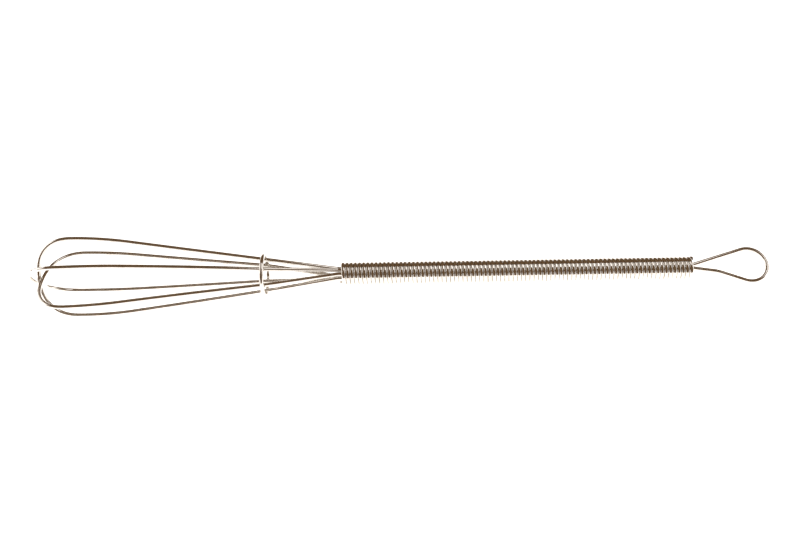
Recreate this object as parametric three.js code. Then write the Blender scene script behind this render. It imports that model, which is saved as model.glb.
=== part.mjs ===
// Balloon whisk made wholly of one gauge of round wire: three balloon loops crossing at the nose,
// a hoop round their neck, a close-wound coil as the grip and a bent wire eye to hang it by.
//
// The whisk is drawn along its own axis with the balloon towards -X, the grip's mouth at X = 0 and
// the hanging eye towards +X. A roll about that axis is counted from +Z towards +Y. The finished
// group is then tipped so that the whisk lies on a level surface, on two balloon legs and the far
// end of the coil, with its origin under the middle of its box.

import * as THREE from 'three';

// ---- driving dimensions: millimetres and degrees ----

const WIRE_DIAMETER = 1.0;
const WIRE_RADIUS = WIRE_DIAMETER / 2;
const WIRE_SIDES = 8;

const GRIP_LENGTH = 86.2;
const COIL_RADIUS = 2.41; // to the middle of the coiled wire
const COIL_TURNS = 84.4;
const COIL_END_ROLL = 46; // where the cut end at the eye's end points
const COIL_STEPS_PER_TURN = 10;
const COIL_SIDES = 6;

const LOOP_COUNT = 3;
const LEG_COUNT = 2 * LOOP_COUNT;
const LEG_PITCH = 360 / LEG_COUNT;
const BUNDLE_SLOTS = LEG_COUNT + 1; // six legs and one tail of the eye, round the other tail
const BUNDLE_RADIUS = 1.3; // the tails spring outwards, against the inside of the coil
const SLOT_PITCH = 360 / BUNDLE_SLOTS;
const SLOT_ZERO_ROLL = 105.1; // the eye's tail, where it ends inside the mouth
const BUNDLE_LAY = -11.8; // how far the bundle turns from the mouth to the eye's end
const LEG_RECESS = 0.9; // legs stop this far inside the eye's end of the coil
const TAIL_RECESS = 3.0; // the eye's tails stop this far inside the mouth
const BEND_REACH = 0.3; // half the length of the bend at the mouth

const HOOP_REACH = 18.34; // from the mouth to the hoop
const NECK_RADIUS = 3.91; // legs' middle line where the hoop holds them
const HOOP_RADIUS = 4.98;
const HOOP_STEPS = 48;

const LEG_SLOPE = 0.1442; // rise of the straight leg per unit of reach
const LEG_TWIST = 0.1066; // turn of a leg about the axis per unit of reach
const SHOULDER_REACH = 51.3; // where the straight leg starts to curve
const BELLY_REACH = 65; // where the balloon is widest
const NOSE_POWER = 2.35; // 2 would be an ellipse; more is squarer
const STRAIGHT_STEPS = 3;
const SHOULDER_STEPS = 4;
const NOSE_STEPS = 11;
const LAY_STEPS = 4;

// Each loop's furthest reach, and how far it leans to one side at the belly.
const LOOPS = {
  inner: { firstLeg: 1, noseReach: 73.0, lean: -0.3 },
  outer: { firstLeg: 2, noseReach: 75.2, lean: -0.4 },
  middle: { firstLeg: 3, noseReach: 74.1, lean: 0.37 },
};

const EYE_RADIUS = 4.35; // to the middle of the wire
const EYE_REACH = 13.55; // from the end of the coil to the eye's centre
const EYE_RISE = 0.69; // of the eye's centre off the whisk's axis
const EYE_ROLL = 68.3; // which way the eye's flat side faces, less a right angle
const EYE_CORE_ANGLE = 8.9; // at which the core tail leaves the coil
const EYE_KNEE_REACH = 5.8; // where that tail turns outwards, towards the round part
const EYE_KNEE_HALF = 1.0;
const EYE_CORNER_HALF = 0.4; // half of the bend that each tail makes at the coil's end
const EYE_STEPS = 22;

const BELLY_RADIUS = NECK_RADIUS + LEG_SLOPE * (SHOULDER_REACH - HOOP_REACH)
  + LEG_SLOPE * (BELLY_REACH - SHOULDER_REACH) / 2;

const PLATED_WIRE = { color: 0xb9b2a8, metalness: 1.0, roughness: 0.22 };
const PLATED_COIL = { color: 0xb3aba0, metalness: 1.0, roughness: 0.25 };

// ---- placing points ----

const radians = THREE.MathUtils.degToRad;

// A point at a distance from the whisk's axis, turned by a roll about it.
function pointAt(x, radius, roll) {
  return new THREE.Vector3(x, radius * Math.sin(radians(roll)), radius * Math.cos(radians(roll)));
}

// Where the wire in one slot of the bundle lies inside the grip.
function bundlePoint(slot, x) {
  const roll = SLOT_ZERO_ROLL + slot * SLOT_PITCH + BUNDLE_LAY * x / GRIP_LENGTH;
  return pointAt(x, BUNDLE_RADIUS, roll);
}

// A wire's middle line: straight between stations, with each joint cut along its bisector.
class WirePath extends THREE.Curve {
  constructor(stations) {
    super();
    this.stations = stations;
  }

  getPoint(t, target = new THREE.Vector3()) {
    const place = t * (this.stations.length - 1);
    const index = Math.min(Math.floor(place), this.stations.length - 2);
    return target.lerpVectors(this.stations[index], this.stations[index + 1], place - index);
  }

  getUtoTmapping(u) {
    return u;
  }

  getTangent(t, target = new THREE.Vector3()) {
    const last = this.stations.length - 1;
    const index = Math.round(t * last);
    const here = this.stations[index];
    const before = this.stations[Math.max(index - 1, 0)];
    const after = this.stations[Math.min(index + 1, last)];
    const arriving = here.clone().sub(before).normalize();
    const leaving = after.clone().sub(here).normalize();
    return target.addVectors(arriving, leaving).normalize();
  }
}

// The coil's middle line, whose section keeps one flat towards the whisk's axis.
class CoilPath extends WirePath {
  computeFrenetFrames(segments) {
    const frames = { tangents: [], normals: [], binormals: [] };
    for (let i = 0; i <= segments; i += 1) {
      const tangent = this.getTangentAt(i / segments);
      const outward = this.getPointAt(i / segments).setX(0).normalize();
      const binormal = new THREE.Vector3().crossVectors(tangent, outward).normalize();
      frames.tangents.push(tangent);
      frames.normals.push(new THREE.Vector3().crossVectors(binormal, tangent));
      frames.binormals.push(binormal);
    }
    return frames;
  }
}

// A regular polygon inside the wire's round section, with a flat facing each way along x.
function wireSection(sides) {
  const corners = [];
  for (let i = 0; i < sides; i += 1) {
    const angle = 2 * Math.PI * (i + 0.5) / sides;
    corners.push(new THREE.Vector2(WIRE_RADIUS * Math.cos(angle), WIRE_RADIUS * Math.sin(angle)));
  }
  return new THREE.Shape(corners);
}

function wireMesh(name, path, sides, finish) {
  const steps = path.stations.length - 1;
  const geometry = new THREE.ExtrudeGeometry(wireSection(sides), { steps, extrudePath: path });
  const mesh = new THREE.Mesh(geometry, new THREE.MeshStandardMaterial(finish));
  mesh.name = name;
  return mesh;
}

// ---- the balloon ----

// A point on a leg outside the hoop. The leg turns steadily about the axis and leans ever more.
function legPoint(leg, lean, reach, radius) {
  const roll = LEG_PITCH * (leg + 0.5) + LEG_TWIST * (BELLY_REACH - reach);
  const share = (reach - HOOP_REACH) / (BELLY_REACH - HOOP_REACH);
  const point = pointAt(-reach, radius, roll);
  point.y += lean * share * share;
  return point;
}

// One leg from its tail inside the grip to the balloon's widest point.
function legStations(leg, lean) {
  const tail = GRIP_LENGTH - LEG_RECESS;
  const stations = [];
  for (let i = 0; i < LAY_STEPS; i += 1) {
    stations.push(bundlePoint(leg, tail * (1 - i / LAY_STEPS)));
  }
  const corner = bundlePoint(leg, -BEND_REACH).setX(-BEND_REACH);
  const neck = legPoint(leg, lean, HOOP_REACH, NECK_RADIUS);
  const bendStart = corner.clone().setX(0);
  const bendEnd = corner.clone().lerp(neck, BEND_REACH / (HOOP_REACH - BEND_REACH));
  stations.push(...new THREE.QuadraticBezierCurve3(bendStart, corner, bendEnd).getPoints(3));
  for (let i = 0; i < STRAIGHT_STEPS; i += 1) {
    const reach = THREE.MathUtils.lerp(HOOP_REACH, SHOULDER_REACH, i / STRAIGHT_STEPS);
    stations.push(legPoint(leg, lean, reach, NECK_RADIUS + LEG_SLOPE * (reach - HOOP_REACH)));
  }
  for (let i = 0; i <= SHOULDER_STEPS; i += 1) {
    const reach = THREE.MathUtils.lerp(SHOULDER_REACH, BELLY_REACH, i / SHOULDER_STEPS);
    const left = BELLY_REACH - reach;
    const drop = LEG_SLOPE * left * left / (2 * (BELLY_REACH - SHOULDER_REACH));
    stations.push(legPoint(leg, lean, reach, BELLY_RADIUS - drop));
  }
  return stations;
}

// The nose of one loop, from just past its first leg, over the axis, to just before its second.
function noseStations({ firstLeg, noseReach, lean }) {
  const roll = LEG_PITCH * (firstLeg + 0.5);
  const length = noseReach - BELLY_REACH;
  const stations = [];
  for (let i = 1; i < 2 * NOSE_STEPS; i += 1) {
    const angle = Math.PI / 2 * (1 - i / NOSE_STEPS);
    const side = Math.sign(angle);
    const across = Math.abs(Math.sin(angle)) ** (2 / NOSE_POWER);
    const along = Math.cos(angle) ** (2 / NOSE_POWER);
    const reach = BELLY_REACH + length * along;
    const share = (reach - HOOP_REACH) / (BELLY_REACH - HOOP_REACH);
    const point = pointAt(-reach, side * BELLY_RADIUS * across, roll);
    point.y += lean * share * share;
    stations.push(point);
  }
  return stations;
}

// One wire bent into a loop whose two legs lie on opposite sides of the axis.
function balloonLoop(name, loop) {
  const stations = [
    ...legStations(loop.firstLeg, loop.lean),
    ...noseStations(loop),
    ...legStations(loop.firstLeg + LOOP_COUNT, loop.lean).reverse(),
  ];
  return wireMesh(name, new WirePath(stations), WIRE_SIDES, PLATED_WIRE);
}

// ---- the hoop round the neck ----

function retainingHoop() {
  const geometry = new THREE.TorusGeometry(HOOP_RADIUS, WIRE_RADIUS, WIRE_SIDES, HOOP_STEPS);
  const mesh = new THREE.Mesh(geometry, new THREE.MeshStandardMaterial(PLATED_WIRE));
  mesh.name = 'retaining_hoop';
  mesh.rotation.y = Math.PI / 2;
  mesh.position.x = -HOOP_REACH;
  return mesh;
}

// ---- the grip ----

// A right-hand coil, cut square at both ends.
function coilGrip() {
  const steps = Math.round(COIL_TURNS * COIL_STEPS_PER_TURN);
  const stations = [];
  for (let i = 0; i <= steps; i += 1) {
    const x = THREE.MathUtils.lerp(GRIP_LENGTH - WIRE_RADIUS, WIRE_RADIUS, i / steps);
    stations.push(pointAt(x, COIL_RADIUS, COIL_END_ROLL + 360 * COIL_TURNS * i / steps));
  }
  return wireMesh('coil_grip', new CoilPath(stations), COIL_SIDES, PLATED_COIL);
}

// ---- the hanging eye ----

// The angle to the whisk's axis at which a straight leg, starting beyond the coil's end and above
// the axis by a rise, runs up to touch a round part whose centre has a rise of its own.
function touchingAngle(reach, rise, centreRise) {
  const ahead = EYE_REACH - reach;
  const above = rise - centreRise;
  return Math.asin(EYE_RADIUS / Math.hypot(ahead, above)) - Math.atan2(above, ahead);
}

// A quadratic bend between two straight stretches that meet at a corner.
function bend(before, corner, after, half) {
  const start = corner.clone().lerp(before, half / corner.distanceTo(before));
  const end = corner.clone().lerp(after, half / corner.distanceTo(after));
  return new THREE.QuadraticBezierCurve3(start, corner, end).getPoints(3);
}

// A teardrop: one tail is the bundle's core, which leaves the coil downwards and turns outwards at
// a knee. It touches the round part, and a straight leg runs from there back to slot 0.
function hangingEye() {
  const place = (reach, rise) => pointAt(GRIP_LENGTH + reach, rise, EYE_ROLL);
  const slotEnd = bundlePoint(0, GRIP_LENGTH);
  const slotRise = BUNDLE_RADIUS * Math.cos(radians(SLOT_ZERO_ROLL + BUNDLE_LAY - EYE_ROLL));
  const kneeRise = -EYE_KNEE_REACH * Math.tan(radians(EYE_CORE_ANGLE));
  const lowerAngle = touchingAngle(EYE_KNEE_REACH, -kneeRise, -EYE_RISE);
  const upperAngle = touchingAngle(0, slotRise, EYE_RISE);

  const roundStart = -Math.PI / 2 - lowerAngle;
  const roundEnd = Math.PI / 2 + upperAngle;
  const round = [];
  for (let i = 0; i <= EYE_STEPS; i += 1) {
    const angle = THREE.MathUtils.lerp(roundStart, roundEnd, i / EYE_STEPS);
    const reach = EYE_REACH + EYE_RADIUS * Math.cos(angle);
    round.push(place(reach, EYE_RISE + EYE_RADIUS * Math.sin(angle)));
  }

  const tail = place(TAIL_RECESS - GRIP_LENGTH, 0);
  const knee = place(EYE_KNEE_REACH, kneeRise);
  const stations = [
    tail,
    ...bend(tail, place(0, 0), knee, EYE_CORNER_HALF),
    ...bend(place(0, 0), knee, round[0], EYE_KNEE_HALF),
    ...round,
    ...bend(round[EYE_STEPS], slotEnd, bundlePoint(0, GRIP_LENGTH - 1), EYE_CORNER_HALF),
  ];
  for (let i = 1; i <= LAY_STEPS; i += 1) {
    stations.push(bundlePoint(0, THREE.MathUtils.lerp(GRIP_LENGTH, TAIL_RECESS, i / LAY_STEPS)));
  }
  return wireMesh('hanging_eye', new WirePath(stations), WIRE_SIDES, PLATED_WIRE);
}

// ---- the whisk, lying down ----

const whisk = new THREE.Group();
whisk.add(
  balloonLoop('balloon_loop_inner', LOOPS.inner),
  balloonLoop('balloon_loop_outer', LOOPS.outer),
  balloonLoop('balloon_loop_middle', LOOPS.middle),
  retainingHoop(),
  coilGrip(),
  hangingEye(),
);

const bellyDepth = BELLY_RADIUS * Math.cos(radians(LEG_PITCH / 2)) + WIRE_RADIUS;
const coilDepth = COIL_RADIUS + WIRE_RADIUS;
whisk.rotation.y = Math.asin((bellyDepth - coilDepth) / (BELLY_REACH + GRIP_LENGTH));

const group = new THREE.Group();
group.add(whisk);
const box = new THREE.Box3().setFromObject(group, true);
whisk.position.set(-(box.min.x + box.max.x) / 2, -(box.min.y + box.max.y) / 2, -box.min.z);

export default group;
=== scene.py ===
"""A small balloon whisk made wholly of plated wire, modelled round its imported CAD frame."""

import math

import bpy
from mathutils import Euler, Matrix, Vector


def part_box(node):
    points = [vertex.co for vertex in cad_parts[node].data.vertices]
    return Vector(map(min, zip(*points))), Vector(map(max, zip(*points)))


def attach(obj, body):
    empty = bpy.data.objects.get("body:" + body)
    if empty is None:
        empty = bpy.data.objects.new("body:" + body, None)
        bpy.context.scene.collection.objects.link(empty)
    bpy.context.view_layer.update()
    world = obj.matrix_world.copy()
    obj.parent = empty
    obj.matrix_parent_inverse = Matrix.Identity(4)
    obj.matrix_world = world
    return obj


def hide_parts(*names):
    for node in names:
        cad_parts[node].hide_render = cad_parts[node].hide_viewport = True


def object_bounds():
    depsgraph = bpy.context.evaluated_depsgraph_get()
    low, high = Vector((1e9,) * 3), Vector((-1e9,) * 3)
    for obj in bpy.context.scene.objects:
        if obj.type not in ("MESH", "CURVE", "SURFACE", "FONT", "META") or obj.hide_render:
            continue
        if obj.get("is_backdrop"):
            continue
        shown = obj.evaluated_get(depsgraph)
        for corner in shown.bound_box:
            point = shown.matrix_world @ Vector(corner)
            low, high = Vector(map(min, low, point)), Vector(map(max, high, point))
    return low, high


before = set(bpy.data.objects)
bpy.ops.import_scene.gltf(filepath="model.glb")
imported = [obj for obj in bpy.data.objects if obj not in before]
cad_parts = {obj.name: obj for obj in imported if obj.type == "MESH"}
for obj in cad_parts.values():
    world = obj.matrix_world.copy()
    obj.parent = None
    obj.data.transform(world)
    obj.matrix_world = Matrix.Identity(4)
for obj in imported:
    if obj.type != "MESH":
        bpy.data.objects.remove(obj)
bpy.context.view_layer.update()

bl_info = {
    "name": "Balloon Whisk",
    "version": (1, 0, 0),
    "blender": (4, 5, 0),
    "location": "3D View > Sidebar > Whisk",
    "description": "Builds an all-wire balloon whisk with a coiled grip and its studio",
    "category": "Object",
}

MM = 0.001


# ---- colours ----


def linear(code):
    """The linear colour of an sRGB hex code such as #C8C0B6."""
    channels = [int(code[i : i + 2], 16) / 255 for i in (1, 3, 5)]
    return [c / 12.92 if c <= 0.04045 else ((c + 0.055) / 1.055) ** 2.4 for c in channels]


# ---- what a user may change ----


class WhiskSizes(bpy.types.PropertyGroup):
    """Driving sizes of the whisk, along its own axis."""

    wire_radius: bpy.props.FloatProperty(
        name="Wire Radius", description="Half the thickness of every wire",
        default=0.5 * MM, unit="LENGTH", precision=5,
    )
    bundle_radius: bpy.props.FloatProperty(
        name="Bundle Radius", description="From the axis to the middle of the outer tails",
        default=1.3 * MM, unit="LENGTH", precision=5,
    )
    grip_length: bpy.props.FloatProperty(
        name="Grip Length", description="Length of the close-wound coil",
        default=86.2 * MM, unit="LENGTH", precision=4,
    )
    coil_radius: bpy.props.FloatProperty(
        name="Coil Radius", description="From the whisk's axis to the middle of the coiled wire",
        default=2.41 * MM, unit="LENGTH", precision=5,
    )
    coil_turns: bpy.props.FloatProperty(
        name="Coil Turns", description="Turns of wire in the grip", default=84.4,
    )
    coil_corner: bpy.props.FloatProperty(
        name="Coil Corner", description="Round of the coiled wire, whose outside is pressed flatter",
        default=0.38 * MM, unit="LENGTH", precision=5,
    )
    coil_end_roll: bpy.props.FloatProperty(
        name="Coil End Roll", description="Where the coil's cut end at the eye points",
        default=math.radians(46), subtype="ANGLE",
    )
    hoop_reach: bpy.props.FloatProperty(
        name="Hoop Reach", description="From the grip's mouth to the hoop",
        default=18.34 * MM, unit="LENGTH", precision=4,
    )
    neck_radius: bpy.props.FloatProperty(
        name="Neck Radius", description="From the axis to the middle of a leg under the hoop",
        default=3.91 * MM, unit="LENGTH", precision=5,
    )
    hoop_radius: bpy.props.FloatProperty(
        name="Hoop Radius", description="From the axis to the middle of the hoop's wire",
        default=4.98 * MM, unit="LENGTH", precision=5,
    )
    leg_slope: bpy.props.FloatProperty(
        name="Leg Slope", description="Rise of a straight leg for each unit of reach",
        default=0.1442,
    )
    leg_twist: bpy.props.FloatProperty(
        name="Leg Twist", description="Turn of a leg about the axis from the belly to the hoop",
        default=math.radians(4.97), subtype="ANGLE",
    )
    shoulder_reach: bpy.props.FloatProperty(
        name="Shoulder Reach", description="From the mouth to where a straight leg starts to curve",
        default=51.3 * MM, unit="LENGTH", precision=4,
    )
    belly_reach: bpy.props.FloatProperty(
        name="Belly Reach", description="From the mouth to the balloon's widest place",
        default=65.0 * MM, unit="LENGTH", precision=4,
    )
    nose_power: bpy.props.FloatProperty(
        name="Nose Power", description="2 makes an elliptical nose, more makes it squarer",
        default=2.35, min=2.0, max=4.0,
    )
    nose_reach: bpy.props.FloatVectorProperty(
        name="Nose Reach", description="From the mouth to the nose of each loop, inner one first",
        default=(73.0 * MM, 74.1 * MM, 75.2 * MM), size=3, unit="LENGTH", precision=5,
    )
    lean: bpy.props.FloatVectorProperty(
        name="Lean", description="How far each loop leans along +Y at its belly, inner one first",
        default=(-0.3 * MM, 0.37 * MM, -0.4 * MM), size=3, unit="LENGTH", precision=5,
    )
    eye_radius: bpy.props.FloatProperty(
        name="Eye Radius", description="Radius of the eye's round part, to the middle of the wire",
        default=4.35 * MM, unit="LENGTH", precision=5,
    )
    eye_reach: bpy.props.FloatProperty(
        name="Eye Reach", description="From the end of the coil to the eye's centre",
        default=13.55 * MM, unit="LENGTH", precision=5,
    )
    eye_rise: bpy.props.FloatProperty(
        name="Eye Rise", description="From the whisk's axis to the eye's centre",
        default=0.69 * MM, unit="LENGTH", precision=5,
    )
    eye_roll: bpy.props.FloatProperty(
        name="Eye Roll", description="Roll of the plane that the eye lies in",
        default=math.radians(68.3), subtype="ANGLE",
    )
    eye_core_angle: bpy.props.FloatProperty(
        name="Eye Core Angle", description="Angle to the axis at which the core tail leaves the coil",
        default=math.radians(8.9), subtype="ANGLE",
    )


class WhiskFinish(bpy.types.PropertyGroup):
    """Colours of the plated wire, of what dulls it, and of the shade painted between the coil's
    turns.
    """

    plating: bpy.props.FloatVectorProperty(
        name="Plating", description="Bright face of the tin plating",
        default=linear("#F0EDE8"), subtype="COLOR", size=3, min=0, max=1,
    )
    mottle: bpy.props.FloatVectorProperty(
        name="Mottle", description="Greyer patches where the plating is thinner",
        default=linear("#DFDAD2"), subtype="COLOR", size=3, min=0, max=1,
    )
    # Painted shade: the brown that darkens the coil between its turns.
    crevice_shade: bpy.props.FloatVectorProperty(
        name="Film", description="Brown film left between the turns of the coil",
        default=linear("#6E5A46"), subtype="COLOR", size=3, min=0, max=1,
    )
    solder: bpy.props.FloatVectorProperty(
        name="Solder", description="Dull solder where the hoop is tacked to the legs",
        default=linear("#BDB7AE"), subtype="COLOR", size=3, min=0, max=1,
    )


class WhiskStudio(bpy.types.PropertyGroup):
    """Where the camera stands and what the metal reflects."""

    azimuth: bpy.props.FloatProperty(
        name="Azimuth", description="Turn of the view about the vertical; 0 looks along +Y",
        default=math.radians(3.17), subtype="ANGLE",
    )
    elevation: bpy.props.FloatProperty(
        name="Elevation", description="Height of the camera above the horizon",
        default=math.radians(42.30), subtype="ANGLE",
    )
    roll: bpy.props.FloatProperty(
        name="Roll", description="Turn of the camera about its line of sight",
        default=math.radians(-4.74), subtype="ANGLE",
    )
    distance: bpy.props.FloatProperty(
        name="Distance", description="From the camera to the point it looks at",
        default=206.3 * MM, unit="LENGTH", precision=4,
    )
    target: bpy.props.FloatVectorProperty(
        name="Target", description="The point that the camera looks at",
        default=(0.495 * MM, 0.3 * MM, 7.953 * MM), size=3, subtype="TRANSLATION", unit="LENGTH",
    )
    lens: bpy.props.FloatProperty(
        name="Lens", description="Focal length on a 36 mm wide sensor, in millimetres",
        default=38.25,
    )
    floor: bpy.props.FloatVectorProperty(
        name="Floor", description="Plain white table", default=linear("#FFFFFF"),
        subtype="COLOR", size=3, min=0, max=1,
    )
    room: bpy.props.FloatVectorProperty(
        name="Room", description="Dim warm room that the metal reflects",
        default=linear("#6A543E"), subtype="COLOR", size=3, min=0, max=1,
    )


# ---- the whisk's own axes ----

LEGS = 6
LEG_PITCH = math.tau / LEGS
BUNDLE_SLOTS = 7
SLOT_PITCH = math.tau / BUNDLE_SLOTS
SLOT_ZERO_ROLL = math.radians(105.1)
BUNDLE_LAY = math.radians(-11.8)
LEG_RECESS = 0.9 * MM  # the legs' tails stop this far inside the grip's far end
TAIL_RECESS = 3.0 * MM  # the eye's tails stop this far inside the grip's mouth
BEND_REACH = 0.3 * MM  # the legs turn outwards this far in front of the mouth
NECK_BEND_HALF = 2.0 * MM
EYE_KNEE_REACH = 5.8 * MM  # the core tail turns outwards this far beyond the coil
EYE_KNEE_HALF = 1.0 * MM
EYE_CORNER_HALF = 0.4 * MM  # half of the bend that each tail makes at the coil's end
TACK_SPAN = (1.35 * MM, 1.3 * MM, 0.62 * MM)
CUT_EDGE = 0.09 * MM
SHARP_EDGE = math.radians(35)
SAME_PLACE = 0.001 * MM  # vertices nearer than this are merged

# ---- how finely the pieces are divided ----

WIRE_SIDES = 24
CORNER_STEPS = 6
COIL_STEPS_PER_TURN = 36
HOOP_STEPS = 120
LAY_STEPS = 12
BEND_STEPS = 8
STRAIGHT_STEPS = 16
SHOULDER_STEPS = 20
NOSE_STEPS = 80
EYE_STEPS = 60
TACK_SEGMENTS = 32
TACK_RINGS = 16

# ---- what shows in the finishes ----

TIN_PATCH = 2.6 * MM
TIN_PATCH_NOISE = {"From Min": 0.38, "From Max": 0.68}
DRAW_LINE_LENGTH = 14.0  # millimetres, as the wire's lay is
DRAW_LINES = 6.0  # lines over one wire radius
DRAW_LINE_DEPTH = 0.01 * MM
DRAW_LINE_STRENGTH = 0.1
DRAWN_ROUGHNESS = {"From Min": 0.3, "From Max": 0.75, "To Min": 0.05, "To Max": 0.17}
# Painted shade between the coil's turns: none towards the crest, most in the crevices; and the
# roughness added where it lies.
CREVICE_SHADE_FROM_CREST = {"From Min": 0.6, "From Max": 0.1, "To Min": 0.0, "To Max": 0.9}
CREVICE_SHADE_ROUGHNESS = 0.3
SOLDER_LUMP = 0.35 * MM
SOLDER_DEPTH = 0.03 * MM
SOLDER_STRENGTH = 0.3
SOLDER_ROUGHNESS = {"From Min": 0.3, "From Max": 0.7, "To Min": 0.22, "To Max": 0.4}

# ---- the studio, in metres ----

TABLE_SPAN = 4.0
TABLE_ROUGHNESS = 0.6
TABLE_GLOW = 1.15
SENSOR_WIDTH = 36.0  # millimetres
NEAREST_SEEN = 0.01
SOFTBOX_SPAN = (0.42, 0.32)
SOFTBOX_RADIANCE = 1.4
SOFTBOX_AIM = (0, 0.07, 0)
CARD_SPAN = (0.4, 0.08)
CARD_RADIANCE = 1.3
CARD_AIM = (0, 0, 0)
# Each light has its name, its place, what it's aimed at, its span and its radiance.
LIGHTS = (
    ("top_softbox", (0.155, 0.04, 0.6), (0.155, 0.04, 0), (0.25, 0.34), 1.5),
    ("right_softbox", (0.5, 0.07, 0.22), SOFTBOX_AIM, SOFTBOX_SPAN, SOFTBOX_RADIANCE),
    ("left_softbox", (-0.5, 0.07, 0.22), SOFTBOX_AIM, SOFTBOX_SPAN, SOFTBOX_RADIANCE),
    ("right_card", (0.52, -0.2, 0.04), CARD_AIM, CARD_SPAN, CARD_RADIANCE),
    ("left_card", (-0.52, -0.2, 0.04), CARD_AIM, CARD_SPAN, CARD_RADIANCE),
)


def sizes():
    return bpy.context.scene.whisk_sizes


def finish_colours():
    return bpy.context.scene.whisk_finish


def point_at(x, radius, roll):
    """A point beside the whisk's axis, its roll counted from +Z towards +Y."""
    return Vector((x, radius * math.sin(roll), radius * math.cos(roll)))


def bundle_point(slot, x):
    """Where the wire in one slot of the bundle lies inside the grip."""
    roll = SLOT_ZERO_ROLL + slot * SLOT_PITCH + BUNDLE_LAY * x / sizes().grip_length
    return point_at(x, sizes().bundle_radius, roll)


def belly_radius():
    """From the axis to the middle of a leg at the balloon's widest place."""
    size = sizes()
    straight = size.shoulder_reach - size.hoop_reach
    curved = size.belly_reach - size.shoulder_reach
    return size.neck_radius + size.leg_slope * (straight + curved / 2)


def placement():
    """The turn and shift that lay the whisk down as its CAD frame lies."""
    size = sizes()
    belly_depth = belly_radius() * math.cos(LEG_PITCH / 2)
    tilt = math.asin((belly_depth - size.coil_radius) / (size.belly_reach + size.grip_length))
    turn = Euler((0, tilt, 0)).to_matrix()
    low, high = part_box("retaining_hoop")
    middle = (low + high) / 2
    return turn, middle - turn @ Vector((-size.hoop_reach, 0, 0))


# ---- modelling by hand ----


def pick(piece):
    """Makes a piece the only one selected, and the active one."""
    bpy.ops.object.select_all(action="DESELECT")
    piece.select_set(True)
    bpy.context.view_layer.objects.active = piece


def lay_down(piece):
    """Lays a piece that was modelled along the whisk's axis where it belongs."""
    turn, shift = placement()
    pick(piece)
    piece.matrix_world = Matrix.Translation(shift) @ turn.to_4x4()
    bpy.ops.object.transform_apply(location=True, rotation=True, scale=True)


def edit(piece):
    """Opens a piece in edit mode with nothing selected."""
    pick(piece)
    bpy.ops.object.mode_set(mode="EDIT")
    bpy.ops.mesh.select_mode(type="FACE")
    bpy.ops.mesh.select_all(action="DESELECT")


def close_edit():
    bpy.ops.object.mode_set(mode="OBJECT")


def select_faces(piece, chosen):
    """Selects the faces that chosen accepts; the piece is in edit mode."""
    bpy.ops.object.mode_set(mode="OBJECT")
    for face in piece.data.polygons:
        face.select = chosen(face)
    bpy.ops.object.mode_set(mode="EDIT")


def quadratic(first, corner, last, steps):
    """Points on the smooth bend that a wire makes at a corner, from its first to its last."""
    points = []
    for i in range(steps + 1):
        t = i / steps
        points.append(first * (1 - t) ** 2 + corner * (2 * t * (1 - t)) + last * t**2)
    return points


def curve_wire(name, stations):
    """A round wire drawn along its stations, open at both ends.

    Its mesh has one ring of vertices for each station, in their order.
    """
    bpy.ops.object.select_all(action="DESELECT")
    bpy.ops.curve.primitive_nurbs_path_add()
    wire = bpy.context.object
    wire.name = name
    wire.data.name = name
    wire.data.splines.clear()
    line = wire.data.splines.new("POLY")
    line.points.add(len(stations) - 1)
    for point, station in zip(line.points, stations):
        point.co = (*station, 1)
    wire.data.dimensions = "3D"
    wire.data.twist_mode = "MINIMUM"
    wire.data.bevel_depth = sizes().wire_radius
    wire.data.bevel_resolution = (WIRE_SIDES - 4) // 2
    wire.data.use_fill_caps = False
    bpy.ops.object.convert(target="MESH")
    return wire


def mark_lay(wire, lays):
    """Stores how each vertex lies on its wire: millimetres along it, and its side as two parts.

    The lines that drawing leaves, and the shade painted in the crevices of the coil, follow this
    attribute.
    """
    attribute = wire.data.attributes.new("wire_lay", "FLOAT_VECTOR", "POINT")
    for value, lay in zip(attribute.data, lays, strict=True):
        value.vector = lay


def lays_along(wire, stations, plane_normal):
    """The lay of each vertex of a curve wire; its sides are counted from plane_normal."""
    sides = len(wire.data.vertices) // len(stations)
    length = 0.0
    last = len(stations) - 1
    for i, station in enumerate(stations):
        before = stations[max(i - 1, 0)]
        length += (station - before).length / MM
        forward = (stations[min(i + 1, last)] - before).normalized()
        across = forward.cross(plane_normal)
        for vertex in wire.data.vertices[i * sides : (i + 1) * sides]:
            side = (vertex.co - station) / sizes().wire_radius
            yield length, side.dot(plane_normal), side.dot(across)


def close_cut_ends(wire):
    """Closes both ends of an open wire, and turns the edge of each as the shears leave it."""
    edit(wire)
    bpy.ops.mesh.select_mode(type="EDGE")
    bpy.ops.mesh.select_non_manifold()
    bpy.ops.mesh.fill_holes(sides=0)
    bpy.ops.mesh.select_all(action="SELECT")
    bpy.ops.mesh.normals_make_consistent(inside=False)
    bpy.ops.mesh.select_mode(type="FACE")
    bpy.ops.mesh.select_all(action="DESELECT")
    select_faces(wire, lambda face: len(face.vertices) > 4)
    bpy.ops.mesh.inset(use_individual=True, thickness=CUT_EDGE, depth=0)
    bpy.ops.mesh.inset(use_individual=True, thickness=CUT_EDGE, depth=0)
    close_edit()


def smooth(piece):
    """Shades a round wire smooth and keeps its cut edges sharp."""
    pick(piece)
    bpy.ops.object.shade_smooth_by_angle(angle=SHARP_EDGE)


def hand_over(piece, material, slot, *nodes):
    """Gives a finished piece its material and its body, and hides the CAD nodes that it stands for.
    """
    smooth(piece)
    lay_down(piece)
    piece.data.materials.clear()
    piece.data.materials.append(material)
    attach(piece, "root")
    if nodes:
        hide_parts(*nodes)


# ---- materials ----


def add_node(tree, kind, inputs=None, **settings):
    """Adds a node. An input given as (node, output) is linked, and any other is its value."""
    node = tree.nodes.new(kind)
    for name, value in settings.items():
        setattr(node, name, value)
    for name, value in (inputs or {}).items():
        if isinstance(value, tuple) and isinstance(value[0], bpy.types.Node):
            tree.links.new(value[0].outputs[value[1]], node.inputs[name])
        else:
            node.inputs[name].default_value = value
    return node


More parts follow.
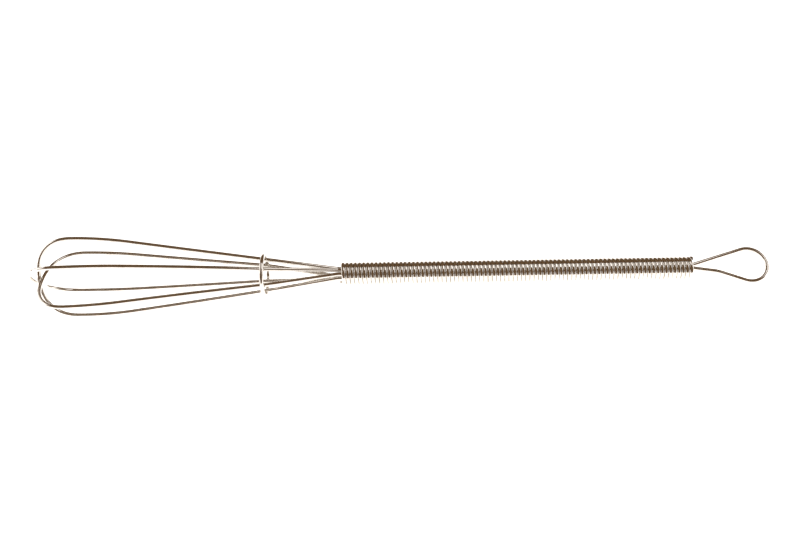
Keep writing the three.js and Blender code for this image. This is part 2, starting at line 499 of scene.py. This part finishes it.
def new_tree(name):
    """An empty material and its node tree."""
    material = bpy.data.materials.new(name)
    material.use_nodes = True
    material.node_tree.nodes.clear()
    return material, material.node_tree


def rgba(colour):
    return (*colour, 1.0)


def plated_metal(tree, paint_crevice_shade):
    """Tin over drawn steel wire: cloudy patches in the tin, and long fine lines along the wire.

    For the coil, brown shade is painted on all but its crests, and the shaded surface is made
    rougher.
    """
    colours = finish_colours()
    lay = add_node(tree, "ShaderNodeAttribute", attribute_name="wire_lay")
    drawn = add_node(
        tree, "ShaderNodeMapping",
        {"Vector": (lay, "Vector"), "Scale": (1 / DRAW_LINE_LENGTH, DRAW_LINES, DRAW_LINES)},
    )
    lines = add_node(
        tree, "ShaderNodeTexNoise",
        {"Vector": (drawn, "Vector"), "Scale": 1.0, "Detail": 3.0, "Roughness": 0.6},
    )
    place = add_node(tree, "ShaderNodeTexCoord")
    clouds = add_node(
        tree, "ShaderNodeTexNoise",
        {"Vector": (place, "Object"), "Scale": 1 / TIN_PATCH, "Detail": 4.0, "Roughness": 0.55},
    )
    thin = add_node(
        tree, "ShaderNodeMapRange",
        {"Value": (clouds, "Fac"), **TIN_PATCH_NOISE},
    )
    tone = add_node(
        tree, "ShaderNodeMix",
        {"Factor": (thin, "Result"), "A": rgba(colours.plating), "B": rgba(colours.mottle)},
        data_type="RGBA",
    )
    dulling = add_node(
        tree, "ShaderNodeMapRange",
        {"Value": (lines, "Fac"), **DRAWN_ROUGHNESS},
    )
    ripple = add_node(
        tree, "ShaderNodeBump",
        {
            "Height": (lines, "Fac"),
            "Strength": DRAW_LINE_STRENGTH,
            "Distance": DRAW_LINE_DEPTH,
        },
    )
    surface = {
        "Base Color": (tone, "Result"),
        "Roughness": (dulling, "Result"),
        "Normal": (ripple, "Normal"),
        "Metallic": 1.0,
    }
    # Painted shade: brown mixed in between the coil's turns, in cloudy patches, with roughness added
    # where it lies.
    if paint_crevice_shade:
        side = add_node(tree, "ShaderNodeSeparateXYZ", {"Vector": (lay, "Vector")})
        depth = add_node(
            tree, "ShaderNodeMapRange",
            {"Value": (side, "Y"), **CREVICE_SHADE_FROM_CREST},
            interpolation_type="SMOOTHSTEP",
        )
        crevice_shade = add_node(
            tree, "ShaderNodeMath", {0: (depth, "Result"), 1: (clouds, "Fac")},
            operation="MULTIPLY", use_clamp=True,
        )
        crevice_shaded_tone = add_node(
            tree, "ShaderNodeMix",
            {"Factor": (crevice_shade, "Value"), "A": (tone, "Result"), "B": rgba(colours.crevice_shade)},
            data_type="RGBA",
        )
        rough = add_node(
            tree, "ShaderNodeMath", {0: (crevice_shade, "Value"), 1: CREVICE_SHADE_ROUGHNESS, 2: (dulling, "Result")},
            operation="MULTIPLY_ADD",
        )
        surface |= {"Base Color": (crevice_shaded_tone, "Result"), "Roughness": (rough, "Value")}
    metal = add_node(tree, "ShaderNodeBsdfPrincipled", surface)
    add_node(tree, "ShaderNodeOutputMaterial", {"Surface": (metal, "BSDF")})


def tinned_wire():
    """Tin-plated drawn steel: a bright, faintly warm mirror with fine lines along the wire."""
    material, tree = new_tree("tinned_wire")
    plated_metal(tree, paint_crevice_shade=False)
    return material


def tinned_coil():
    """The same wire, close wound: bright on the crests and browner between the turns, where shade is
    painted.
    """
    material, tree = new_tree("tinned_coil")
    plated_metal(tree, paint_crevice_shade=True)
    return material


def soft_solder():
    """Wiped soft solder: greyer and duller than the wire, with a slightly lumpy skin."""
    material, tree = new_tree("soft_solder")
    place = add_node(tree, "ShaderNodeTexCoord")
    grain = add_node(
        tree, "ShaderNodeTexNoise",
        {"Vector": (place, "Object"), "Scale": 1 / SOLDER_LUMP, "Detail": 3.0},
    )
    rough = add_node(
        tree, "ShaderNodeMapRange",
        {"Value": (grain, "Fac"), **SOLDER_ROUGHNESS},
    )
    lumps = add_node(
        tree, "ShaderNodeBump",
        {"Height": (grain, "Fac"), "Strength": SOLDER_STRENGTH, "Distance": SOLDER_DEPTH},
    )
    metal = add_node(
        tree, "ShaderNodeBsdfPrincipled",
        {
            "Base Color": rgba(finish_colours().solder),
            "Metallic": 1.0,
            "Roughness": (rough, "Result"),
            "Normal": (lumps, "Normal"),
        },
    )
    add_node(tree, "ShaderNodeOutputMaterial", {"Surface": (metal, "BSDF")})
    return material


# ---- the balloon ----


def leg_roll(leg):
    return LEG_PITCH * (leg + 0.5)


def share_of_way(reach):
    """How far a reach is on the way from the hoop to the belly, which counts as 1."""
    size = sizes()
    return (reach - size.hoop_reach) / (size.belly_reach - size.hoop_reach)


def leg_point(leg, lean, reach, radius):
    """A point on a leg beyond the hoop; its twist dies out and its lean grows up to the belly."""
    share = share_of_way(reach)
    point = point_at(-reach, radius, leg_roll(leg) + sizes().leg_twist * (1 - share))
    point.y += lean * share**2
    return point


def leg_stations(leg, lean):
    """One leg, from its tail inside the grip to the balloon's widest place."""
    size = sizes()
    tail = size.grip_length - LEG_RECESS
    stations = [bundle_point(leg, tail * (1 - i / LAY_STEPS)) for i in range(LAY_STEPS)]

    corner = bundle_point(leg, -BEND_REACH)
    neck = leg_point(leg, lean, size.hoop_reach, size.neck_radius)
    bend_end = corner.lerp(neck, BEND_REACH / (size.hoop_reach - BEND_REACH))
    stations += quadratic(bundle_point(leg, 0), corner, bend_end, BEND_STEPS)

    straight = size.shoulder_reach - size.hoop_reach
    before = neck.lerp(corner, NECK_BEND_HALF / (size.hoop_reach - BEND_REACH))
    rise = size.leg_slope * NECK_BEND_HALF
    after = leg_point(leg, lean, size.hoop_reach + NECK_BEND_HALF, size.neck_radius + rise)
    stations += quadratic(before, neck, after, BEND_STEPS)
    for i in range(1, STRAIGHT_STEPS):
        along = NECK_BEND_HALF + (straight - NECK_BEND_HALF) * i / STRAIGHT_STEPS
        radius = size.neck_radius + size.leg_slope * along
        stations.append(leg_point(leg, lean, size.hoop_reach + along, radius))

    curved = size.belly_reach - size.shoulder_reach
    for i in range(SHOULDER_STEPS + 1):
        left = curved * (1 - i / SHOULDER_STEPS)
        radius = belly_radius() - size.leg_slope * left**2 / (2 * curved)
        stations.append(leg_point(leg, lean, size.belly_reach - left, radius))
    return stations


def nose_stations(leg, lean, reach):
    """The nose of a loop, from the belly of one leg over the axis to the belly of the other."""
    size = sizes()
    stations = []
    for i in range(1, NOSE_STEPS):
        angle = math.pi * (0.5 - i / NOSE_STEPS)
        across = math.copysign(abs(math.sin(angle)) ** (2 / size.nose_power), angle)
        along = math.cos(angle) ** (2 / size.nose_power)
        x = size.belly_reach + (reach - size.belly_reach) * along
        point = point_at(-x, belly_radius() * across, leg_roll(leg))
        point.y += lean * share_of_way(x) ** 2
        stations.append(point)
    return stations


class WHISK_OT_balloon_loops(bpy.types.Operator):
    """Bends the three crossed loops of the balloon, each with two tails to go into the grip"""

    bl_idname = "whisk.balloon_loops"
    bl_label = "Balloon Loops"

    def execute(self, context):
        material = tinned_wire()
        first_leg = {"inner": 1, "middle": 3, "outer": 2}
        shapes = zip(first_leg.items(), sizes().nose_reach, sizes().lean)
        for (name, leg), reach, lean in shapes:
            stations = leg_stations(leg, lean) + nose_stations(leg, lean, reach)
            stations += reversed(leg_stations(leg + LEGS // 2, lean))
            loop = curve_wire(f"balloon_{name}_wire", stations)
            plane_normal = point_at(0, 1, leg_roll(leg) + math.pi / 2)
            mark_lay(loop, lays_along(loop, stations, plane_normal))
            close_cut_ends(loop)
            hand_over(loop, material, "plated_wire", f"balloon_loop_{name}")
        return {"FINISHED"}


# ---- the hoop round the neck ----


class WHISK_OT_retaining_hoop(bpy.types.Operator):
    """Spins the closed wire hoop that keeps the six legs together at the neck"""

    bl_idname = "whisk.retaining_hoop"
    bl_label = "Retaining Hoop"

    def execute(self, context):
        size = sizes()
        bpy.ops.object.select_all(action="DESELECT")
        bpy.ops.mesh.primitive_circle_add(
            vertices=WIRE_SIDES, radius=size.wire_radius,
            location=point_at(-size.hoop_reach, size.hoop_radius, 0), rotation=(math.pi / 2, 0, 0),
        )
        hoop = bpy.context.object
        hoop.name = "retaining_hoop_wire"
        hoop.data.name = hoop.name
        bpy.ops.object.transform_apply(location=True, rotation=True, scale=True)
        edit(hoop)
        bpy.ops.mesh.select_mode(type="VERT")
        bpy.ops.mesh.select_all(action="SELECT")
        middle = (-size.hoop_reach, 0, 0)
        bpy.ops.mesh.spin(steps=HOOP_STEPS, angle=math.tau, center=middle, axis=(1, 0, 0))
        bpy.ops.mesh.select_all(action="SELECT")
        bpy.ops.mesh.remove_doubles(threshold=SAME_PLACE)
        bpy.ops.mesh.normals_make_consistent(inside=False)
        close_edit()

        lays = []
        for vertex in hoop.data.vertices:
            x, y, z = vertex.co
            outward = (math.hypot(y, z) - size.hoop_radius) / size.wire_radius
            sideways = (x + size.hoop_reach) / size.wire_radius
            lays.append((math.atan2(y, z) * size.hoop_radius / MM, outward, sideways))
        mark_lay(hoop, lays)
        hand_over(hoop, bpy.data.materials["tinned_wire"], "plated_wire", "retaining_hoop")
        return {"FINISHED"}


class WHISK_OT_solder_tacks(bpy.types.Operator):
    """Sets a small bead of solder on the crossing of the hoop and each leg"""

    bl_idname = "whisk.solder_tacks"
    bl_label = "Solder Tacks"

    def execute(self, context):
        size = sizes()
        material = soft_solder()
        contact = (size.neck_radius + size.hoop_radius) / 2
        for leg in range(LEGS):
            roll = leg_roll(leg) + size.leg_twist
            bpy.ops.object.select_all(action="DESELECT")
            bpy.ops.mesh.primitive_uv_sphere_add(
                segments=TACK_SEGMENTS, ring_count=TACK_RINGS, radius=0.5, scale=TACK_SPAN,
                location=point_at(-size.hoop_reach, contact, roll), rotation=(-roll, 0, 0),
            )
            tack = bpy.context.object
            tack.name = f"solder_tack_{leg + 1}"
            tack.data.name = tack.name
            bpy.ops.object.transform_apply(location=True, rotation=True, scale=True)
            hand_over(tack, material, "plated_wire")
        return {"FINISHED"}


# ---- the grip and its eye ----


class WHISK_OT_coil_grip(bpy.types.Operator):
    """Winds the long right-hand coil that clamps the tails and makes the grip"""

    bl_idname = "whisk.coil_grip"
    bl_label = "Coil Grip"

    def execute(self, context):
        size = sizes()
        bpy.ops.object.select_all(action="DESELECT")
        bpy.ops.mesh.primitive_plane_add(
            size=2 * size.wire_radius,
            location=(size.wire_radius, 0, size.coil_radius), rotation=(math.pi / 2, 0, 0),
        )
        coil = bpy.context.object
        coil.name = "coil_grip_wire"
        coil.data.name = coil.name
        bpy.ops.object.transform_apply(location=True, rotation=True, scale=True)
        edit(coil)
        bpy.ops.mesh.select_mode(type="VERT")
        bpy.ops.mesh.select_all(action="SELECT")
        bpy.ops.mesh.bevel(offset=size.coil_corner, segments=CORNER_STEPS, affect="VERTICES")
        bpy.ops.mesh.select_all(action="SELECT")
        bpy.ops.mesh.delete(type="ONLY_FACE")
        close_edit()
        middle = Vector((size.wire_radius, 0, size.coil_radius))
        sides = []
        for vertex in coil.data.vertices:
            side = (vertex.co - middle) / size.wire_radius
            sides.append((side.z, side.x))

        turn = math.tau * size.coil_turns
        steps = round(COIL_STEPS_PER_TURN * size.coil_turns)
        winding = coil.modifiers.new("winding", "SCREW")
        winding.axis = "X"
        winding.angle = turn
        winding.screw_offset = size.grip_length - 2 * size.wire_radius
        winding.steps = steps
        winding.render_steps = steps
        winding.use_merge_vertices = False
        bpy.ops.object.modifier_apply(modifier=winding.name)

        step_length = size.coil_radius * (turn / steps) / MM
        lays = []
        for i in range(len(coil.data.vertices)):
            step, side = divmod(i, len(sides))
            lays.append((step * step_length, *sides[side]))
        mark_lay(coil, lays)
        close_cut_ends(coil)

        coil.rotation_euler = (-size.coil_end_roll - turn, 0, 0)
        bpy.ops.object.transform_apply(location=True, rotation=True, scale=True)
        hand_over(coil, tinned_coil(), "plated_coil", "coil_grip")
        return {"FINISHED"}


def touching_angle(reach, rise, centre_rise):
    """Angle to the axis at which a straight leg runs up to touch the eye's round part."""
    size = sizes()
    ahead = size.eye_reach - reach
    above = rise - centre_rise
    return math.asin(size.eye_radius / math.hypot(ahead, above)) - math.atan2(above, ahead)


def bend(before, corner, after, half, steps):
    """A bend between two straight stretches of wire that meet at a corner."""
    first = corner.lerp(before, half / (before - corner).length)
    last = corner.lerp(after, half / (after - corner).length)
    return quadratic(first, corner, last, steps)


def eye_stations():
    """The eye: out as the bundle's core, a knee, round, and straight back to the free slot."""
    size = sizes()

    def place(reach, rise):
        return point_at(size.grip_length + reach, rise, size.eye_roll)

    slot_turn = SLOT_ZERO_ROLL + BUNDLE_LAY - size.eye_roll
    knee_rise = -EYE_KNEE_REACH * math.tan(size.eye_core_angle)
    first_angle = -math.pi / 2 - touching_angle(EYE_KNEE_REACH, -knee_rise, -size.eye_rise)
    last_angle = math.pi / 2
    last_angle += touching_angle(0, size.bundle_radius * math.cos(slot_turn), size.eye_rise)
    ring = []
    for i in range(EYE_STEPS + 1):
        angle = first_angle + (last_angle - first_angle) * i / EYE_STEPS
        reach = size.eye_reach + size.eye_radius * math.cos(angle)
        ring.append(place(reach, size.eye_rise + size.eye_radius * math.sin(angle)))

    tail = TAIL_RECESS - size.grip_length
    knee = place(EYE_KNEE_REACH, knee_rise)
    stations = [place(tail * (1 - i / LAY_STEPS), 0) for i in range(LAY_STEPS)]
    stations += bend(stations[-1], place(0, 0), knee, EYE_CORNER_HALF, BEND_STEPS)
    stations += bend(place(0, 0), knee, ring[0], EYE_KNEE_HALF, BEND_STEPS)
    stations += ring
    inside = bundle_point(0, size.grip_length + tail / LAY_STEPS)
    slot_end = bundle_point(0, size.grip_length)
    stations += bend(ring[-1], slot_end, inside, EYE_CORNER_HALF, BEND_STEPS)
    for i in range(1, LAY_STEPS + 1):
        stations.append(bundle_point(0, size.grip_length + tail * i / LAY_STEPS))
    return stations


class WHISK_OT_hanging_eye(bpy.types.Operator):
    """Bends the hanging eye, whose two long tails run down the middle of the grip"""

    bl_idname = "whisk.hanging_eye"
    bl_label = "Hanging Eye"

    def execute(self, context):
        stations = eye_stations()
        eye = curve_wire("hanging_eye_wire", stations)
        plane_normal = point_at(0, 1, sizes().eye_roll + math.pi / 2)
        mark_lay(eye, lays_along(eye, stations, plane_normal))
        close_cut_ends(eye)
        hand_over(eye, bpy.data.materials["tinned_wire"], "plated_wire", "hanging_eye")
        return {"FINISHED"}


# ---- the studio ----


def white_table(colour):
    """Backlit white acrylic: it glows evenly, so that nothing casts a visible shadow on it."""
    material, tree = new_tree("white_table")
    shine = add_node(
        tree, "ShaderNodeBsdfPrincipled",
        {
            "Base Color": rgba(colour),
            "Roughness": TABLE_ROUGHNESS,
            "Emission Color": rgba(colour),
            "Emission Strength": TABLE_GLOW,
        },
    )
    add_node(tree, "ShaderNodeOutputMaterial", {"Surface": (shine, "BSDF")})
    return material


def soft_light(name, place, aim, span, radiance):
    """A rectangular softbox that metal reflects and the camera doesn't see."""
    bpy.ops.object.light_add(type="AREA", location=place)
    light = bpy.context.object
    light.name = name
    light.rotation_euler = (Vector(aim) - Vector(place)).to_track_quat("-Z", "Y").to_euler()
    light.data.shape = "RECTANGLE"
    light.data.size, light.data.size_y = span
    light.data.energy = radiance * math.pi * span[0] * span[1]
    light.visible_camera = False


class WHISK_OT_studio(bpy.types.Operator):
    """Sets up the white table, the dim room, the softboxes and the camera"""

    bl_idname = "whisk.studio"
    bl_label = "Studio"

    def execute(self, context):
        studio = context.scene.whisk_studio
        low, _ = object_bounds()
        bpy.ops.object.select_all(action="DESELECT")
        bpy.ops.mesh.primitive_plane_add(size=TABLE_SPAN, location=(0, 0, low.z))
        table = bpy.context.object
        table.name = "white_table"
        table.data.materials.append(white_table(studio.floor))
        table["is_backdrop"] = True

        world = bpy.data.worlds.new("dim_room")
        context.scene.world = world
        world.use_nodes = True
        tree = world.node_tree
        tree.nodes.clear()
        ray = add_node(tree, "ShaderNodeLightPath")
        tone = add_node(
            tree, "ShaderNodeMix",
            {
                "Factor": (ray, "Is Camera Ray"),
                "A": rgba(studio.room),
                "B": rgba(studio.floor),
            },
            data_type="RGBA",
        )
        air = add_node(tree, "ShaderNodeBackground", {"Color": (tone, "Result"), "Strength": 1.0})
        add_node(tree, "ShaderNodeOutputWorld", {"Surface": (air, "Background")})

        for light in LIGHTS:
            soft_light(*light)

        bpy.ops.object.camera_add()
        camera = bpy.context.object
        turn = (
            Matrix.Rotation(studio.azimuth, 4, "Z")
            @ Matrix.Rotation(math.pi / 2 - studio.elevation, 4, "X")
            @ Matrix.Rotation(studio.roll, 4, "Z")
        )
        back = turn.to_3x3() @ Vector((0, 0, studio.distance))
        camera.matrix_world = Matrix.Translation(Vector(studio.target) + back) @ turn
        camera.data.lens = studio.lens
        camera.data.sensor_width = SENSOR_WIDTH
        camera.data.clip_start = NEAREST_SEEN
        context.scene.camera = camera
        context.scene.view_settings.view_transform = "Standard"
        return {"FINISHED"}


# ---- the panel ----


class WHISK_PT_panel(bpy.types.Panel):
    """Sizes, finish and the steps that build the whisk"""

    bl_idname = "WHISK_PT_panel"
    bl_label = "Balloon Whisk"
    bl_space_type = "VIEW_3D"
    bl_region_type = "UI"
    bl_category = "Whisk"

    def draw(self, context):
        for group in PROPERTY_GROUPS:
            box = self.layout.box()
            settings = getattr(context.scene, group)
            for name in settings.__annotations__:
                box.prop(settings, name)
        for step in STEPS:
            self.layout.operator(step.bl_idname)


PROPERTY_GROUPS = {
    "whisk_sizes": WhiskSizes,
    "whisk_finish": WhiskFinish,
    "whisk_studio": WhiskStudio,
}
STEPS = (
    WHISK_OT_balloon_loops,
    WHISK_OT_retaining_hoop,
    WHISK_OT_solder_tacks,
    WHISK_OT_coil_grip,
    WHISK_OT_hanging_eye,
    WHISK_OT_studio,
)


def register():
    for name, group in PROPERTY_GROUPS.items():
        bpy.utils.register_class(group)
        setattr(bpy.types.Scene, name, bpy.props.PointerProperty(type=group))
    for step in (*STEPS, WHISK_PT_panel):
        bpy.utils.register_class(step)


def unregister():
    for step in reversed((*STEPS, WHISK_PT_panel)):
        bpy.utils.unregister_class(step)
    for name, group in reversed(PROPERTY_GROUPS.items()):
        delattr(bpy.types.Scene, name)
        bpy.utils.unregister_class(group)


def main():
    register()
    bpy.ops.whisk.balloon_loops()
    bpy.ops.whisk.retaining_hoop()
    bpy.ops.whisk.solder_tacks()
    bpy.ops.whisk.coil_grip()
    bpy.ops.whisk.hanging_eye()
    bpy.ops.whisk.studio()


if __name__ == "__main__":
    main()
